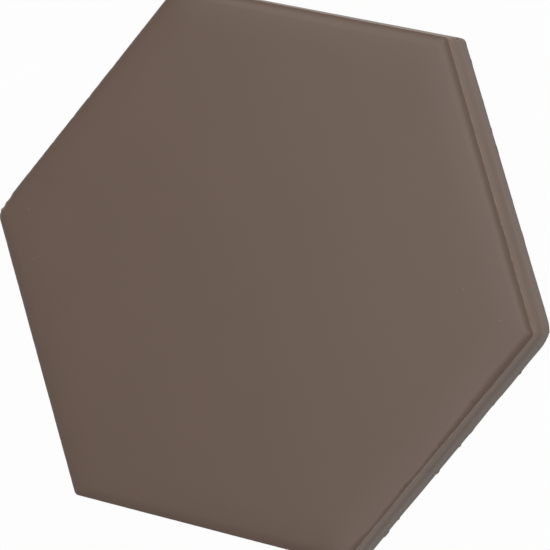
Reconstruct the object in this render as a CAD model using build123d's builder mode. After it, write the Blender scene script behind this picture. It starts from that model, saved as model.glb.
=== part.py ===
from build123d import *
import os
from math import atan, degrees

# Hexagonal dry-pressed porcelain tile, lying on its back with the face up. Millimetres.
# The origin is the middle of the back, +Z leaves the face, +X is square to one side
# and +Y runs through two opposite corners.

# Outline
side_count = 6
across_flats = 101.0  # between opposite sides of the lower wall
thickness = 9.0  # from the back to the flat of the face
corner_radius = 1.2  # plan corners of the lower wall; the upper wall runs parallel

# Edge of the face: a gentle crown, then a tighter roll down to the arris
crown_width = 4.7  # from the flat of the face out to the roll
crown_drop = 0.16  # how far the face falls over the crown
roll_width = 2.1  # from the crown out to the arris
roll_radius = 4.7

# Side wall, pressed in two steps
lower_wall_height = 4.4  # from the back to the step
step_rise = 0.8  # height of the slope between the lower and the upper wall
step_width = 0.2  # how far the upper wall stands back from the lower one

# Back, with shallow grooves that key into the adhesive
back_chamfer = 0.4  # break along the back edge
border_width = 7.0  # plain rim round the grooves
rib_count = 7  # odd, so that one rib lies on the centre line
rib_width = 4.0
groove_depth = 0.8
groove_corner_radius = 1.5  # plan corners of a groove
groove_draft = 20.0  # degrees that a groove's sides lean

# How far the edge's cutting section reaches past the blank
cut_margin = 2.0  # above the face
roll_sweep = 45.0  # degrees of the roll's arc, which runs on past the arris

# Worked out from the sizes above
apothem = across_flats / 2
step_lean = degrees(atan(step_width / step_rise))
upper_wall_height = thickness - lower_wall_height - step_rise
roll_x = apothem - step_width - roll_width
crown_x = roll_x - crown_width
crown_radius = (crown_width**2 + crown_drop**2) / (2 * crown_drop)
field_apothem = apothem - border_width
rib_pitch = (2 * field_apothem + rib_width) / (rib_count + 1)
turn_to_sides = 180 / side_count


# What the die leaves away above the face along one side
with BuildPart() as edge_cut:
    with BuildSketch(Plane.XZ) as edge_section:
        with BuildLine():
            crown = RadiusArc((crown_x, thickness), (roll_x, thickness - crown_drop), crown_radius)
            roll = JernArc(crown @ 1, crown % 1, roll_radius, -roll_sweep)
            top = thickness + cut_margin
            Polyline(roll @ 1, ((roll @ 1).X, top), (crown_x, top), crown @ 0)
        make_face()
    extrude(amount=across_flats, both=True)


with BuildPart() as tile:
    # Lower wall, the step that leans in from it, and the upper wall
    with BuildSketch() as footprint:
        RegularPolygon(apothem, side_count, major_radius=False, rotation=turn_to_sides)
        fillet(footprint.vertices(), corner_radius)
    extrude(amount=lower_wall_height)
    extrude(tile.faces().sort_by(Axis.Z)[-1], amount=step_rise, taper=step_lean)
    extrude(tile.faces().sort_by(Axis.Z)[-1], amount=upper_wall_height)

    # Crown and roll along each side, which meet in mitres at the corners
    with PolarLocations(0, side_count):
        add(edge_cut.part, mode=Mode.SUBTRACT)

    # Back edge
    chamfer(tile.faces().sort_by(Axis.Z)[0].edges(), back_chamfer)

    # Grooves: the field inside the rim, less the ribs that stay standing
    with BuildSketch() as grooves:
        RegularPolygon(field_apothem, side_count, major_radius=False, rotation=turn_to_sides)
        with GridLocations(rib_pitch, 0, rib_count, 1):
            Rectangle(rib_width, 2 * across_flats, mode=Mode.SUBTRACT)
        fillet(grooves.vertices(), groove_corner_radius)
    extrude(amount=groove_depth, taper=groove_draft, mode=Mode.SUBTRACT)

tile.part.label = "tile"

os.makedirs("parts", exist_ok=True)
export_step(tile.part, "parts/tile.step")
print("volume", round(tile.part.volume, 1), "mm3")
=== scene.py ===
"""A matt brown hexagonal porcelain tile, face up on a pale floor, in the part's own frame."""

import math

import bpy
import numpy as np
from mathutils import Matrix, Vector, geometry, noise


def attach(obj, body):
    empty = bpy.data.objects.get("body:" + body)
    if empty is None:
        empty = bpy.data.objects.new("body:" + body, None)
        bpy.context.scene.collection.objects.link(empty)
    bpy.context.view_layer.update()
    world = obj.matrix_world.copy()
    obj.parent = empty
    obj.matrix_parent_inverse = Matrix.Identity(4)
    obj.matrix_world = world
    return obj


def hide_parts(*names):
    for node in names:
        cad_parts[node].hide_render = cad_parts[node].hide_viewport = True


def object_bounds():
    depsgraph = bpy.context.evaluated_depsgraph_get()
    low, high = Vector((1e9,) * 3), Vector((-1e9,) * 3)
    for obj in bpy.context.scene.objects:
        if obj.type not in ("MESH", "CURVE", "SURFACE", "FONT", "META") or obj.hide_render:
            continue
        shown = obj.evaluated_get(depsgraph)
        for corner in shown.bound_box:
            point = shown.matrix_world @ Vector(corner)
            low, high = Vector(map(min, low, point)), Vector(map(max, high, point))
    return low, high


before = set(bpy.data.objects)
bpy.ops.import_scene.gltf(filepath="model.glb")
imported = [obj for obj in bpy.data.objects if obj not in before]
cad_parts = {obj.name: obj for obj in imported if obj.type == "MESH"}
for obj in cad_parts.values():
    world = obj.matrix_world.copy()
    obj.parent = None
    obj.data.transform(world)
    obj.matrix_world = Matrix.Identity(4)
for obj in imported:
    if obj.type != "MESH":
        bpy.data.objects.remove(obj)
cad_low, cad_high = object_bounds()

# The tile's sizes are in millimetres, as on a drawing, and become metres where a mesh is made
MM = 0.001

# Outline and side wall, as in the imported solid. Sides are numbered anticlockwise from +X
SIDES = 6
ACROSS_FLATS = (cad_high.x - cad_low.x) / MM
THICKNESS = (cad_high.z - cad_low.z) / MM
CORNER_RADIUS = 1.2  # plan corners of the lower wall
MITRE_RADIUS = 0.3  # plan corners of rows further in than that, where the rolls meet in a mitre
STEP_MIDDLE = 4.8  # from the back to the middle of the step in the side wall
STEP_SPREADS = (2.4, 8.0, 2.4, 2.4, 2.4, 2.4)  # height over which each side's step is worn smooth
STEP_WIDTH = 0.2  # how far the upper wall stands back from the lower one

# Edge of the face: a wide gentle crown, then a roll that steepens towards the arris
CROWN_SLOPE = math.radians(4.0)
CROWN_WIDTH = 5.9
CROWN_POWER = 1.5  # how quickly the crown's slope fades towards the flat
CROWN_BLEND = 0.6  # how far the crown's mitres are softened
ROLL_SLOPE = math.radians(31.0)
ROLL_WIDTH = 2.25
ARRIS_BREAK = 0.05

# One side was pressed fuller, with a narrower and less even roll between its corners
NARROW_SIDE = 5
NARROW_RUNS = (-29.0, -21.0, -4.0, 15.0)  # along that side, from its middle
NARROW_SHARES = (1.0, 0.46, 0.42, 1.0)  # width of the roll there, as a share of its full width
ROLL_UNEVENNESS = 0.22
ROLL_EVEN_SHARE = 1.3  # share of its width at which a roll would be quite even
ROLL_GRAIN = 3.5
ROLL_SEED = 11.0

# A chip in the arris of the same side
CHIP_RUN = -9.3
CHIP_REACH = 0.35
CHIP_DEPTH = 0.22
CHIP_FADE = 3  # power by which chips and nicks fade from the arris up the roll

# Back: grooves between ribs, inside a plain rim
BORDER_WIDTH = 7.0
RIB_COUNT = 7
RIB_WIDTH = 4.0
GROOVE_DEPTH = 0.8
GROOVE_CORNER_RADIUS = 1.5
GROOVE_DRAFT = math.radians(20.0)

# Worn back edge: broken away a little, most on the narrow side, with small teeth that still stand
BACK_BREAK = 0.25
LEAST_BREAK = 0.3  # at a tooth, as a share of that
BACK_LOSS = 0.15
OTHER_SIDES_LOSS = 0.3  # as a share of that
LOSS_MEAN = 0.8
LOSS_SWING = 0.4
LOSS_GRAIN = 8.0
LOSS_SEED = 31.0
LOSS_FADE = 16  # power by which the loss fades up the wall
TOOTH_SIZE = 1.5
TOOTH_SHARPNESS = 5.0
TOOTH_THRESHOLD = 1.5  # the higher, the fewer teeth
TOOTH_SEED = 25.0

# The corner between the narrow side and the next one is worn rounder towards the back
WORN_CORNER_DEPTH = 0.5
WORN_CORNER_REACH = 1.6

# The two walls were pressed a little out of true: how far back each stands at the two ends of each side
UPPER_SETBACKS = ((0.24, 0.0), (-0.13, 0.12), (0.16, 0.0), (0.0, -0.15), (0.22, 0.1), (-0.2, 0.05))
LOWER_SETBACKS = ((0.0, 0.0), (-0.33, 0.1), (0.0, 0.0), (0.0, 0.0), (0.0, 0.29), (-0.22, 0.02))

# Chips in the upright edge at the far end of one side
CHIPPED_SIDE = 0
EDGE_CHIP_HEIGHTS = (3.6, 5.7)
EDGE_CHIP_DEPTHS = (0.5, 0.15)
EDGE_CHIP_REACH = 0.5  # along the wall, and up and down it

# Unevenness of the pressed side wall and of the arris above it
WALL_RELIEF = 0.03
WALL_GRAIN = 9.0
WALL_CHANGE = 0.9  # how quickly that relief changes with the height
WALL_SEED = 40.0
WALL_CLEARANCE = 0.005  # keeps the uneven wall inside the solid's box
ARRIS_RELIEFS = (0.1, 0.05, 0.06, 0.03, 0.03, 0.1)  # depth of the arris's small nicks on each side
ARRIS_GRAIN = 1.1  # size of those nicks
ARRIS_SEED = 5.0
NICK_FADE = 12  # power by which they fade down the wall

# One end of another side's arris is worn back in small bites
BITTEN_SIDE = 2
BITE_RUNS = (25.4, 27.5, 29.2)  # along that side, from its middle
BITE_DEPTHS = (0.14, 0.2, 0.3)
BITE_REACH = 0.8

# Mesh density
POINTS_ALONG_SIDE = 190
POINTS_ROUND_CORNER = 10
ROLL_ROWS = 12
WALL_ROWS = 26
CAP_INSET = 2.8  # where the rolled rows end and the triangulated face begins
CAP_RINGS = ((3.1, 2), (3.5, 4))  # inset of each ring inside that, and how many outline points it skips
FACE_GRID = 1.5
GRID_INSET = 4.1
GROOVE_CORNER_STEPS = 5
SHARP_ANGLE = math.radians(30)

# Worked out from the sizes above
APOTHEM = ACROSS_FLATS / 2
TURN = 2 * math.pi / SIDES
HALF_SIDE = (APOTHEM - CORNER_RADIUS) * math.tan(TURN / 2)
CORNER_RUN = HALF_SIDE + CORNER_RADIUS / 2  # from a side's middle to the corner after it


# Rows of points round the tile

def outline():
    """Each point's side, its run along that from -1 to 1, and the bend of the corner after it."""
    sides = []
    runs = []
    bends = []
    for side in range(SIDES):
        for step in range(POINTS_ALONG_SIDE):
            sides.append(side)
            runs.append(2 * step / POINTS_ALONG_SIDE - 1)
            bends.append(0.0)
        for step in range(POINTS_ROUND_CORNER):
            sides.append(side)
            runs.append(1.0)
            bends.append(TURN * step / POINTS_ROUND_CORNER)
    return np.array(sides), np.array(runs), np.array(bends)


def unit(angles):
    """Unit vectors at angles from +X."""
    return np.stack((np.cos(angles), np.sin(angles)), axis=-1)


SIDE, RUN, BEND = outline()
COUNT = len(SIDE)
NORMAL = unit(SIDE * TURN)
ALONG = unit(SIDE * TURN + math.pi / 2)
RADIAL = unit(SIDE * TURN + BEND)


def between_ends(values):
    """A value for each point of the outline, from values at the two ends of its side."""
    first, last = np.array(values)[SIDE].T
    return first + (last - first) * (RUN + 1) / 2


def meeting(setbacks):
    """How far setbacks that differ move each point along its side, so that the sides still meet."""
    first, last = np.array(setbacks).T
    before = (np.roll(last, 1) - first) / math.cos(TURN / 2)
    after = (last - np.roll(first, -1)) / math.cos(TURN / 2)
    return between_ends(np.column_stack((before, after)))


UPPER = between_ends(UPPER_SETBACKS)
UPPER_MEETING = meeting(UPPER_SETBACKS)
LOWER = between_ends(LOWER_SETBACKS)
LOWER_MEETING = meeting(LOWER_SETBACKS)


def ring(inset, height, upper=0.0, lower=0.0):
    """One closed row, set in from the sides, and by shares of the two walls' setbacks.

    All four values are numbers, or one for each point.
    """
    inset = np.broadcast_to(inset, COUNT) + upper * UPPER + lower * LOWER
    radius = np.maximum(CORNER_RADIUS - inset, MITRE_RADIUS)
    middle = APOTHEM - inset - radius
    run = middle * math.tan(TURN / 2) * RUN + upper * UPPER_MEETING + lower * LOWER_MEETING
    flat = middle[:, None] * NORMAL + run[:, None] * ALONG + radius[:, None] * RADIAL
    return np.column_stack((flat, np.broadcast_to(height, COUNT)))


BASE = ring(0.0, 0.0)[:, :2]


def relief(size, seed, height=0.0):
    """Smooth noise from about -1 to 1 round the tile, with features of a size in millimetres."""
    values = []
    for x, y in BASE:
        values.append(noise.noise(Vector((x / size + seed, y / size, height))))
    return np.array(values)


def bump(side, run, reach):
    """A smooth bump from 0 to 1 on the outline, round the place at a run from the middle of a side."""
    centre = APOTHEM * unit(side * TURN) + run * unit(side * TURN + math.pi / 2)
    return np.exp(-((BASE - centre) ** 2).sum(axis=1) / reach**2)


def arris_nicks():
    """How far the arris is worn back at each point, by small nicks and by the bites."""
    nicks = np.array(ARRIS_RELIEFS)[SIDE] * np.clip(relief(ARRIS_GRAIN, ARRIS_SEED), 0.0, None)
    for run, depth in zip(BITE_RUNS, BITE_DEPTHS):
        nicks += depth * bump(BITTEN_SIDE, run, BITE_REACH)
    return nicks


CHIP = bump(NARROW_SIDE, CHIP_RUN, CHIP_REACH)
WORN_CORNER = bump(NARROW_SIDE, CORNER_RUN, WORN_CORNER_REACH)
CHIPPED_CORNER = bump(CHIPPED_SIDE, CORNER_RUN, EDGE_CHIP_REACH)
ARRIS_NICKS = arris_nicks()


# Face

def side_distances(points):
    """Distance of each point from each of the lower wall's planes."""
    return APOTHEM - points @ unit(np.arange(SIDES) * TURN).T


def soft_inset(points):
    """Distance from the nearest wall, with the mitres between the sides rounded off."""
    return -CROWN_BLEND * np.log(np.exp(-side_distances(points) / CROWN_BLEND).sum(axis=1))


def face_height(points):
    """Height of the crowned face: flat in the middle, then falling ever more towards the roll."""
    inwards = (soft_inset(points) - STEP_WIDTH - ROLL_WIDTH) / CROWN_WIDTH
    reach = np.clip(1 - inwards, 0.0, None)
    power = CROWN_POWER + 1
    return THICKNESS - math.tan(CROWN_SLOPE) * CROWN_WIDTH / power * reach**power


def roll_width():
    """Width of the roll at each point of the outline."""
    narrow = np.interp(RUN * HALF_SIDE, NARROW_RUNS, NARROW_SHARES)
    share = np.where(SIDE == NARROW_SIDE, narrow, 1.0)
    uneven = 1 + ROLL_UNEVENNESS * relief(ROLL_GRAIN, ROLL_SEED) * (ROLL_EVEN_SHARE - share)
    return ROLL_WIDTH * share * uneven


def roll_rings():
    """Rows of the face's edge, from the triangulated face out to the arris."""
    first = ring(CAP_INSET, 0.0)
    first[:, 2] = face_height(first[:, :2])
    rows = [first]
    width = roll_width()
    level = CAP_INSET - STEP_WIDTH - ARRIS_BREAK - width
    start = first[:, 2] - math.tan(CROWN_SLOPE) * level
    bend = width / (ROLL_SLOPE - CROWN_SLOPE)
    for share in np.linspace(1.0, 0.0, ROLL_ROWS):
        slope = ROLL_SLOPE + (CROWN_SLOPE - ROLL_SLOPE) * share
        drop = bend * math.log(math.cos(CROWN_SLOPE) / math.cos(slope))
        chip = (CHIP_DEPTH * CHIP + ARRIS_NICKS) * (1 - share) ** CHIP_FADE
        inset = STEP_WIDTH + ARRIS_BREAK + width * share + chip
        rows.append(ring(inset, start - drop - chip, 1 - share))
    return rows


def grid(spacing, least_inset):
    """A triangular grid of flat points that lie at least that far inside the lower wall."""
    reach = ACROSS_FLATS
    points = []
    for number, y in enumerate(np.arange(-reach, reach, spacing * math.sqrt(3) / 2)):
        shift = spacing / 2 * (number % 2)
        points += [(x + shift, y) for x in np.arange(-reach, reach, spacing)]
    points = np.array(points)
    return points[side_distances(points).min(axis=1) > least_inset]


def face_cap(edge):
    """Points of the face inside an edge row, and triangles over those and the row's own points."""
    flat = [edge[:, :2]]
    for inset, skip in CAP_RINGS:
        flat.append(ring(inset, 0.0)[::skip, :2])
    flat.append(grid(FACE_GRID, GRID_INSET))
    flat = np.concatenate(flat)
    triangles = triangulate(flat, [list(range(COUNT))])
    inner = flat[COUNT:]
    return np.column_stack((inner, face_height(inner))), triangles


def triangulate(points, loops):
    """Triangles over flat points, inside the outer loop. Loops are lists of point numbers."""
    edges = []
    for loop in loops:
        edges += zip(loop, loop[1:] + loop[:1])
    inside_loops = 1
    merge_distance = 1e-5
    vectors = [Vector(point) for point in points]
    return geometry.delaunay_2d_cdt(vectors, edges, [], inside_loops, merge_distance)[2]


# Side wall

def step_share(height):
    """How much of the step the wall has behind it at a height: 0 on the lower wall, 1 on the upper one."""
    share = np.clip((height - STEP_MIDDLE) / np.array(STEP_SPREADS)[SIDE] + 0.5, 0.0, 1.0)
    return share**2 * (3 - 2 * share)


def uneven_wall(height):
    """How far the wall stands back at each point at a height for streaks, worn corners and chips."""
    worn = WORN_CORNER_DEPTH * WORN_CORNER * (1 - height / THICKNESS)
    for chip_height, depth in zip(EDGE_CHIP_HEIGHTS, EDGE_CHIP_DEPTHS):
        nearness = math.exp(-((height - chip_height) / EDGE_CHIP_REACH) ** 2)
        worn = worn + depth * CHIPPED_CORNER * nearness
    streaks = relief(WALL_GRAIN, WALL_SEED, height * WALL_CHANGE)
    return WALL_CLEARANCE + WALL_RELIEF * (1 + streaks) / 2 + worn


def back_loss():
    """How far the back edge is broken away at each point: from 0 at a tooth to 1."""
    teeth = np.clip(TOOTH_SHARPNESS * relief(TOOTH_SIZE, TOOTH_SEED) - TOOTH_THRESHOLD, 0.0, 1.0)
    loss = np.clip(LOSS_MEAN + LOSS_SWING * relief(LOSS_GRAIN, LOSS_SEED), 0.0, 1.0) * (1 - teeth)
    return loss * np.where(SIDE == NARROW_SIDE, 1.0, OTHER_SIDES_LOSS)


def wall_rings(arris_height):
    """Rows of the side wall, from just under the arris down to the back."""
    rows = []
    loss = back_loss()
    top = arris_height - ARRIS_BREAK
    edge_height = BACK_BREAK * (LEAST_BREAK + (1 - LEAST_BREAK) * loss)
    for share in np.linspace(0.0, 1.0, WALL_ROWS):
        height = top + (edge_height - top) * share
        upper = step_share(height)
        inset = STEP_WIDTH * upper + uneven_wall(height.mean())
        inset += ARRIS_NICKS * (1 - share) ** NICK_FADE + BACK_LOSS * loss * share**LOSS_FADE
        rows.append(ring(inset, height, upper, 1 - upper))
    rows.append(ring(uneven_wall(0.0) + BACK_LOSS * loss + edge_height, 0.0, lower=1.0))
    return rows


# Back

def groove_outlines():
    """The outline of each groove on the back plane, with rounded corners."""
    field = APOTHEM - BORDER_WIDTH
    pitch = (2 * field + RIB_WIDTH) / (RIB_COUNT + 1)
    outlines = []
    for number in range(RIB_COUNT + 1):
        left = -field + number * pitch
        right = left + pitch - RIB_WIDTH
        left_end = groove_end(field, left)
        right_end = groove_end(field, right)
        corners = [(left, -left_end), (right, -right_end), (right, right_end), (left, left_end)]
        outlines.append(rounded(np.array(corners), GROOVE_CORNER_RADIUS))
    return outlines


def groove_end(field, x):
    """How far from the X axis the field of the grooves ends at a place along it."""
    return field / math.cos(TURN / 2) - abs(x) * math.tan(TURN / 2)


def rounded(corners, radius):
    """A convex outline, counter-clockwise, with its corners rounded."""
    points = []
    for number, corner in enumerate(corners):
        before = corners[number - 1] - corner
        after = corners[(number + 1) % len(corners)] - corner
        before = before / np.linalg.norm(before)
        after = after / np.linalg.norm(after)
        half = math.acos(float(before @ after)) / 2
        middle = (before + after) / np.linalg.norm(before + after)
        centre = corner + middle * radius / math.sin(half)
        first = corner + before * radius / math.tan(half) - centre
        for turn in np.linspace(0.0, math.pi - 2 * half, GROOVE_CORNER_STEPS + 1):
            x = math.cos(turn) * first[0] - math.sin(turn) * first[1]
            y = math.sin(turn) * first[0] + math.cos(turn) * first[1]
            points.append(centre + np.array((x, y)))
    return np.array(points)


def shrunk(points, amount):
    """A counter-clockwise outline moved inwards by an amount."""
    ahead = np.roll(points, -1, axis=0) - np.roll(points, 1, axis=0)
    ahead /= np.linalg.norm(ahead, axis=1)[:, None]
    inwards = np.column_stack((-ahead[:, 1], ahead[:, 0]))
    return points + amount * inwards


def encloses(points, place):
    """Whether a convex counter-clockwise outline has a place inside it."""
    ahead = np.roll(points, -1, axis=0) - points
    side = ahead[:, 0] * (place[1] - points[:, 1]) - ahead[:, 1] * (place[0] - points[:, 0])
    return (side > 0).all()


# Mesh

FACE_FINISH, WALL_FINISH, BACK_FINISH = range(3)


class Surface:
    """Vertices and faces of one closed mesh, gathered row by row."""

    def __init__(self):
        self.vertices = []
        self.faces = []

    def add(self, points):
        """Adds points and returns their numbers."""
        first = len(self.vertices)
        self.vertices += [tuple(point) for point in points]
        return list(range(first, len(self.vertices)))

    def bands(self, rows):
        """Quads between each closed row and the next."""
        for first, second in zip(rows, rows[1:]):
            self.faces += zip(first, second, second[1:] + second[:1], first[1:] + first[:1])

    def triangles(self, triangles, numbers, flip=False):
        """Triangles given by places in a list of point numbers."""
        for triangle in triangles:
            corners = [numbers[place] for place in triangle]
            self.faces.append(corners[::-1] if flip else corners)


def add_face(surface):
    """Adds the face and its rolled edge, and returns the arris row's numbers and heights."""
    rings = roll_rings()
    rows = [surface.add(points) for points in rings]
    surface.bands(rows)
    inner, triangles = face_cap(rings[0])
    surface.triangles(triangles, rows[0] + surface.add(inner))
    return rows[-1], rings[-1][:, 2]


def add_wall(surface, arris, arris_height):
    """Adds the side wall under the arris, and returns the back edge's numbers and points."""
    rings = wall_rings(arris_height)
    rows = [surface.add(points) for points in rings]
    surface.bands([arris] + rows)
    return rows[-1], rings[-1]


def add_back(surface, edge, edge_points):
    """Closes the back inside its edge: the rim and ribs, and each groove's sides and floor."""
    outlines = groove_outlines()
    flat = [edge_points[:, :2]]
    numbers = list(edge)
    loops = [list(range(COUNT))]
    for points in outlines:
        flat.append(points)
        loops.append(list(range(len(numbers), len(numbers) + len(points))))
        numbers += surface.add(np.column_stack((points, np.zeros(len(points)))))
    flat = np.concatenate(flat)
    solid = []
    for triangle in triangulate(flat, loops):
        middle = flat[list(triangle)].mean(axis=0)
        if not any(encloses(points, middle) for points in outlines):
            solid.append(triangle)
    surface.triangles(solid, numbers, flip=True)
    for loop, points in zip(loops[1:], outlines):
        mouth = [numbers[place] for place in loop]
        deep = shrunk(points, GROOVE_DEPTH * math.tan(GROOVE_DRAFT))
        bottom = surface.add(np.column_stack((deep, np.full(len(deep), GROOVE_DEPTH))))
        surface.bands([mouth, bottom])
        surface.faces.append(bottom[::-1])


def tile_body():
    """The tile as one closed mesh, with a finish each for the face and roll, the wall and the back."""
    surface = Surface()
    arris, arris_height = add_face(surface)
    face_count = len(surface.faces)
    edge, edge_points = add_wall(surface, arris, arris_height)
    wall_count = len(surface.faces)
    add_back(surface, edge, edge_points)
    mesh = bpy.data.meshes.new("tile_body")
    mesh.from_pydata((np.array(surface.vertices) * MM).tolist(), [], surface.faces)
    finishes = np.full(len(surface.faces), BACK_FINISH)
    finishes[:wall_count] = WALL_FINISH
    finishes[:face_count] = FACE_FINISH
    mesh.polygons.foreach_set("material_index", finishes)
    mesh.polygons.foreach_set("use_smooth", np.ones(len(surface.faces), bool))
    mesh.set_sharp_from_angle(angle=SHARP_ANGLE)
    body = bpy.data.objects.new("tile_body", mesh)
    bpy.context.scene.collection.objects.link(body)
    return body


tile = tile_body()
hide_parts("tile")
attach(tile, "root")


# Materials

CERAMIC_IOR = 1.5
NOISE_SPAN = (0.3, 0.7)  # the part of a noise's range that is used

# Face
FACE_COLOUR = (0.136, 0.084, 0.062)
FACE_ROUGHNESS = 0.3
FACE_ROUGHNESS_SPREAD = 0.02
FACE_GRAIN = 0.25
FACE_GRAIN_DETAIL = 3.0
FACE_GRAIN_DEPTH = 0.004
CLOUD_SIZE = 14.0
CLOUD_TONES = (0.985, 1.015)
ROLL_TONE = 0.92  # of the face's colour at the arris
ROLL_HEIGHTS = (8.25, 8.75)  # between which that fades
FLECKS = ((-45.2, 17.5), (-44.0, 17.7), (-43.1, 27.1), (44.6, -24.5), (39.5, -16.7))
FLECK_SIZE = 0.34
FLECK_TONE = 1.45

# Wall and back
BODY_COLOUR = (0.212, 0.138, 0.106)
LOW_BODY_COLOUR = (0.195, 0.152, 0.128)  # greyer towards the back: the back's own colour, and on the lower wall painted shade and painted reflection of the pale floor
BODY_ROUGHNESS = 0.44
BODY_ROUGHNESS_SPREAD = 0.05
BODY_SPECULAR = 0.1
BODY_GRAIN = 0.3
BODY_GRAIN_DETAIL = 4.0
BODY_GRAIN_DEPTH = 0.008
STREAK_SIZE = 0.9
STREAK_STRETCH = (9, 9, 1)
STREAK_DETAIL = 3.0
STREAK_TONES = (0.96, 1.04)
ARRIS_PATCH_HEIGHTS = (7.5, 8.0)  # the wall is lighter in patches above these, just under the arris
ARRIS_PATCH_TONE = 1.3
PATCH_SIZE = 2.0
PATCH_SPAN = (0.42, 0.58)
EDGE_SHADE_HEIGHTS = (0.2, 0.8)  # painted shade along the wall's back edge, where it meets the floor, below these
# depth of that painted shade at the back edge, as a share of the low body colour
EDGE_SHADE_TONE = 0.5
BACK_TONE = 0.97


def calculated(tree, operation, first, second):
    """The result of a math node, from an output and a second output or a number."""
    node = tree.nodes.new("ShaderNodeMath")
    node.operation = operation
    tree.links.new(first, node.inputs[0])
    if isinstance(second, float):
        node.inputs[1].default_value = second
    else:
        tree.links.new(second, node.inputs[1])
    return node.outputs["Value"]


class Finish:
    """A principled material and short ways to add the nodes that drive it."""

    def __init__(self, name):
        self.material = bpy.data.materials.new(name)
        self.material.use_nodes = True
        self.nodes = self.material.node_tree.nodes
        self.links = self.material.node_tree.links
        self.shader = self.nodes["Principled BSDF"]
        self.place = self.nodes.new("ShaderNodeTexCoord").outputs["Object"]

    def noise(self, size, stretch=(1, 1, 1), detail=2.0):
        """Noise with features of a size in millimetres, longer along the axes with a stretch over 1."""
        scale = self.nodes.new("ShaderNodeMapping")
        scale.inputs["Scale"].default_value = [1 / (size * MM * factor) for factor in stretch]
        self.links.new(self.place, scale.inputs["Vector"])
        texture = self.nodes.new("ShaderNodeTexNoise")
        texture.inputs["Scale"].default_value = 1.0
        texture.inputs["Detail"].default_value = detail
        self.links.new(scale.outputs["Vector"], texture.inputs["Vector"])
        return texture.outputs["Fac"]

    def height(self, low, high):
        """0 at a low height above the back and 1 at a high one, both in millimetres."""
        split = self.nodes.new("ShaderNodeSeparateXYZ")
        self.links.new(self.place, split.inputs["Vector"])
        return self.remap(split.outputs["Z"], low * MM, high * MM)

    def spot(self, place, size):
        """1 at a place and 0 beyond a size, both in millimetres."""
        away = self.nodes.new("ShaderNodeVectorMath")
        away.operation = "DISTANCE"
        away.inputs[1].default_value = [value * MM for value in place]
        self.links.new(self.place, away.inputs[0])
        return self.remap(away.outputs["Value"], size * MM, 0.0)

    def remap(self, value, start, end, low=0.0, high=1.0):
        """Takes a value from start and end to low and high."""
        change = self.nodes.new("ShaderNodeMapRange")
        limits = {"From Min": start, "From Max": end, "To Min": low, "To Max": high}
        for name, limit in limits.items():
            change.inputs[name].default_value = limit
        self.links.new(value, change.inputs["Value"])
        return change.outputs["Result"]

    def times(self, first, second):
        """The product of two outputs."""
        return calculated(self.material.node_tree, "MULTIPLY", first, second)

    def mix(self, factor, first, second):
        """Mixes two colours, each a tuple or an output of another node."""
        blend = self.nodes.new("ShaderNodeMix")
        blend.data_type = "RGBA"
        self.links.new(factor, blend.inputs["Factor"])
        for name, colour in (("A", first), ("B", second)):
            if isinstance(colour, tuple):
                blend.inputs[name].default_value = (*colour, 1)
            else:
                self.links.new(colour, blend.inputs[name])
        return blend.outputs["Result"]

    def bump(self, height, depth):
        """Fine relief of a depth in millimetres."""
        node = self.nodes.new("ShaderNodeBump")
        node.inputs["Distance"].default_value = depth * MM
        self.links.new(height, node.inputs["Height"])
        self.links.new(node.outputs["Normal"], self.shader.inputs["Normal"])

    def use(self, colour, roughness):
        """Drives the shader by a colour and a roughness."""
        self.links.new(colour, self.shader.inputs["Base Color"])
        self.links.new(roughness, self.shader.inputs["Roughness"])
        self.shader.inputs["IOR"].default_value = CERAMIC_IOR


def tone(colour, factor):
    """A colour made lighter or darker by a factor."""
    return tuple(channel * factor for channel in colour)


def spread(middle, amount):
    """The two ends of a range round a middle."""
    return middle - amount, middle + amount


def face_finish():
    """Fine, even and matt, with a faint cloudiness, a deeper tone on the roll and a few pale flecks."""
    finish = Finish("matt_face")
    cloud = finish.remap(finish.noise(CLOUD_SIZE), *NOISE_SPAN)
    colour = finish.mix(cloud, *[tone(FACE_COLOUR, factor) for factor in CLOUD_TONES])
    colour = finish.mix(finish.height(*ROLL_HEIGHTS), tone(FACE_COLOUR, ROLL_TONE), colour)
    for x, y in FLECKS:
        fleck = finish.spot((x, y, THICKNESS), FLECK_SIZE)
        colour = finish.mix(fleck, colour, tone(FACE_COLOUR, FLECK_TONE))
    grain = finish.noise(FACE_GRAIN, detail=FACE_GRAIN_DETAIL)
    finish.bump(grain, FACE_GRAIN_DEPTH)
    finish.use(colour, finish.remap(grain, *NOISE_SPAN, *spread(FACE_ROUGHNESS, FACE_ROUGHNESS_SPREAD)))
    return finish.material


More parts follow.
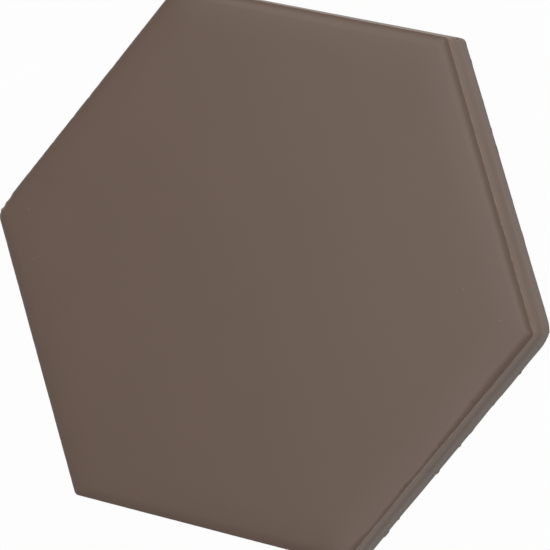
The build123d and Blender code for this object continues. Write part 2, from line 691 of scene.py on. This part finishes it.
def body_finish(name, edge_shade_tone):
    """Pressed and fired without a glaze: level streaks, greyer lower down with painted shade and painted
    reflection of the floor, lighter patches under the arris, painted shade along the back edge.
    """
    finish = Finish(name)
    # Greyer towards the back: painted shade and painted reflection of the pale floor on the lower wall
    floor_shade_and_reflection = finish.height(0.0, THICKNESS)
    streaks = finish.remap(finish.noise(STREAK_SIZE, STREAK_STRETCH, STREAK_DETAIL), *NOISE_SPAN)
    darker, lighter = [
        finish.mix(floor_shade_and_reflection, tone(LOW_BODY_COLOUR, factor), tone(BODY_COLOUR, factor)) for factor in STREAK_TONES
    ]
    colour = finish.mix(streaks, darker, lighter)
    # Lighter in patches just under the arris
    patches = finish.remap(finish.noise(PATCH_SIZE), *PATCH_SPAN)
    arris_patches = finish.times(finish.height(*ARRIS_PATCH_HEIGHTS), patches)
    colour = finish.mix(arris_patches, colour, tone(LOW_BODY_COLOUR, ARRIS_PATCH_TONE))
    # Painted shade along the back edge
    colour = finish.mix(finish.height(*EDGE_SHADE_HEIGHTS), tone(LOW_BODY_COLOUR, edge_shade_tone), colour)
    grain = finish.noise(BODY_GRAIN, detail=BODY_GRAIN_DETAIL)
    finish.bump(grain, BODY_GRAIN_DEPTH)
    finish.use(colour, finish.remap(grain, *NOISE_SPAN, *spread(BODY_ROUGHNESS, BODY_ROUGHNESS_SPREAD)))
    finish.shader.inputs["Specular IOR Level"].default_value = BODY_SPECULAR
    return finish.material


# In the order of the finishes' numbers: the face, the wall and the back
tile.data.materials.append(face_finish())
tile.data.materials.append(body_finish("pressed_wall", EDGE_SHADE_TONE))
tile.data.materials.append(body_finish("pressed_back", BACK_TONE))


# Floor, world and light. Places and sizes are in metres, apart from the floor's gap in millimetres

FLOOR_SIZE = 4.0
FLOOR_COLOUR = (0.58, 0.58, 0.58, 1)
FLOOR_GAP = 0.02  # keeps the floor clear of the back's own plane
FLOOR_GLOW = 0.97  # share of the floor that is plain white to the camera and in reflections
WHITE = (1, 1, 1, 1)
WORLD_COLOUR = (0.92, 1.0, 1.02, 1)
WORLD_STRENGTH = 0.46
OVERHEAD_PLACE = (0.03, 0.31, 0.7)
OVERHEAD_SIZE = (0.592, 1.32)
OVERHEAD_RADIANCE = 1.31
OVERHEAD_COLOUR = (1.05, 1.01, 0.98)
FILL_PLACE = (0.526, 0.288, 0.13)
FILL_SIZE = (0.8, 0.24)
FILL_RADIANCE = 2.05
FILL_COLOUR = (1.05, 1.0, 0.97)


def shader_mix(tree, factor, first, second):
    """A mix of two shaders' outputs."""
    mix = tree.nodes.new("ShaderNodeMixShader")
    tree.links.new(factor, mix.inputs["Fac"])
    tree.links.new(first, mix.inputs[1])
    tree.links.new(second, mix.inputs[2])
    return mix.outputs["Shader"]


def floor():
    """A pale floor that keeps the tile's shadow and is close to white where the camera sees it."""
    bpy.ops.mesh.primitive_plane_add(size=FLOOR_SIZE)
    plane = bpy.context.object
    plane.name = "floor"
    plane.location.z = -FLOOR_GAP * MM
    material = bpy.data.materials.new("floor")
    material.use_nodes = True
    tree = material.node_tree
    tree.nodes.clear()
    path = tree.nodes.new("ShaderNodeLightPath").outputs
    seen = calculated(tree, "MAXIMUM", path["Is Camera Ray"], path["Is Glossy Ray"])
    direct = calculated(tree, "MAXIMUM", seen, path["Is Transmission Ray"])
    share = calculated(tree, "MULTIPLY", direct, FLOOR_GLOW)
    lit = tree.nodes.new("ShaderNodeBsdfDiffuse")
    lit.inputs["Color"].default_value = FLOOR_COLOUR
    glow = tree.nodes.new("ShaderNodeEmission")
    surface = shader_mix(tree, share, lit.outputs["BSDF"], glow.outputs["Emission"])
    out = tree.nodes.new("ShaderNodeOutputMaterial")
    tree.links.new(surface, out.inputs["Surface"])
    plane.data.materials.append(material)


def studio_world():
    """Even light from all round, and plain white to the camera."""
    world = bpy.data.worlds.new("studio")
    bpy.context.scene.world = world
    world.use_nodes = True
    tree = world.node_tree
    around = tree.nodes["Background"]
    around.inputs["Color"].default_value = WORLD_COLOUR
    around.inputs["Strength"].default_value = WORLD_STRENGTH
    white = tree.nodes.new("ShaderNodeBackground")
    white.inputs["Color"].default_value = WHITE
    path = tree.nodes.new("ShaderNodeLightPath").outputs
    surface = shader_mix(
        tree, path["Is Camera Ray"], around.outputs["Background"], white.outputs["Background"]
    )
    tree.links.new(surface, tree.nodes["World Output"].inputs["Surface"])


def softbox(name, place, away, size, radiance, colour):
    """A large soft light at a place, with its back turned to the direction away."""
    data = bpy.data.lights.new(name, "AREA")
    data.shape = "RECTANGLE"
    data.size, data.size_y = size
    data.color = colour
    data.energy = radiance * math.pi * data.size * data.size_y
    lamp = bpy.data.objects.new(name, data)
    lamp.visible_camera = False
    turn = Vector(away).to_track_quat("Z", "Y").to_matrix()
    lamp.matrix_world = Matrix.Translation(place) @ turn.to_4x4()
    bpy.context.scene.collection.objects.link(lamp)


floor()
studio_world()
softbox("overhead", OVERHEAD_PLACE, (0, 0, 1), OVERHEAD_SIZE, OVERHEAD_RADIANCE, OVERHEAD_COLOUR)
softbox("fill", FILL_PLACE, FILL_PLACE, FILL_SIZE, FILL_RADIANCE, FILL_COLOUR)


# Camera, as far off and turned as in the photograph. Angles are in degrees

CAMERA_AZIMUTH = -22.08  # from +X towards +Y
CAMERA_ELEVATION = 64.03
CAMERA_DISTANCE = 875.66
CAMERA_ROLL = -85.90
CAMERA_LENS = 302.73
SENSOR_WIDTH = 36.0
CAMERA_AIM = (3.124, -1.802, 8.29)


def camera():
    """The scene's camera, at its distance from the place that it aims at."""
    data = bpy.data.cameras.new("camera")
    data.lens = CAMERA_LENS
    data.sensor_width = SENSOR_WIDTH
    azimuth = math.radians(CAMERA_AZIMUTH)
    elevation = math.radians(CAMERA_ELEVATION)
    level = math.cos(elevation)
    back = Vector((math.cos(azimuth) * level, math.sin(azimuth) * level, math.sin(elevation)))
    roll = Matrix.Rotation(math.radians(CAMERA_ROLL), 3, "Z")
    turn = back.to_track_quat("Z", "Y").to_matrix() @ roll
    place = (Vector(CAMERA_AIM) + back * CAMERA_DISTANCE) * MM
    eye = bpy.data.objects.new("camera", data)
    eye.matrix_world = Matrix.Translation(place) @ turn.to_4x4()
    bpy.context.scene.collection.objects.link(eye)
    bpy.context.scene.camera = eye


camera()
bpy.context.scene.view_settings.view_transform = "Standard"
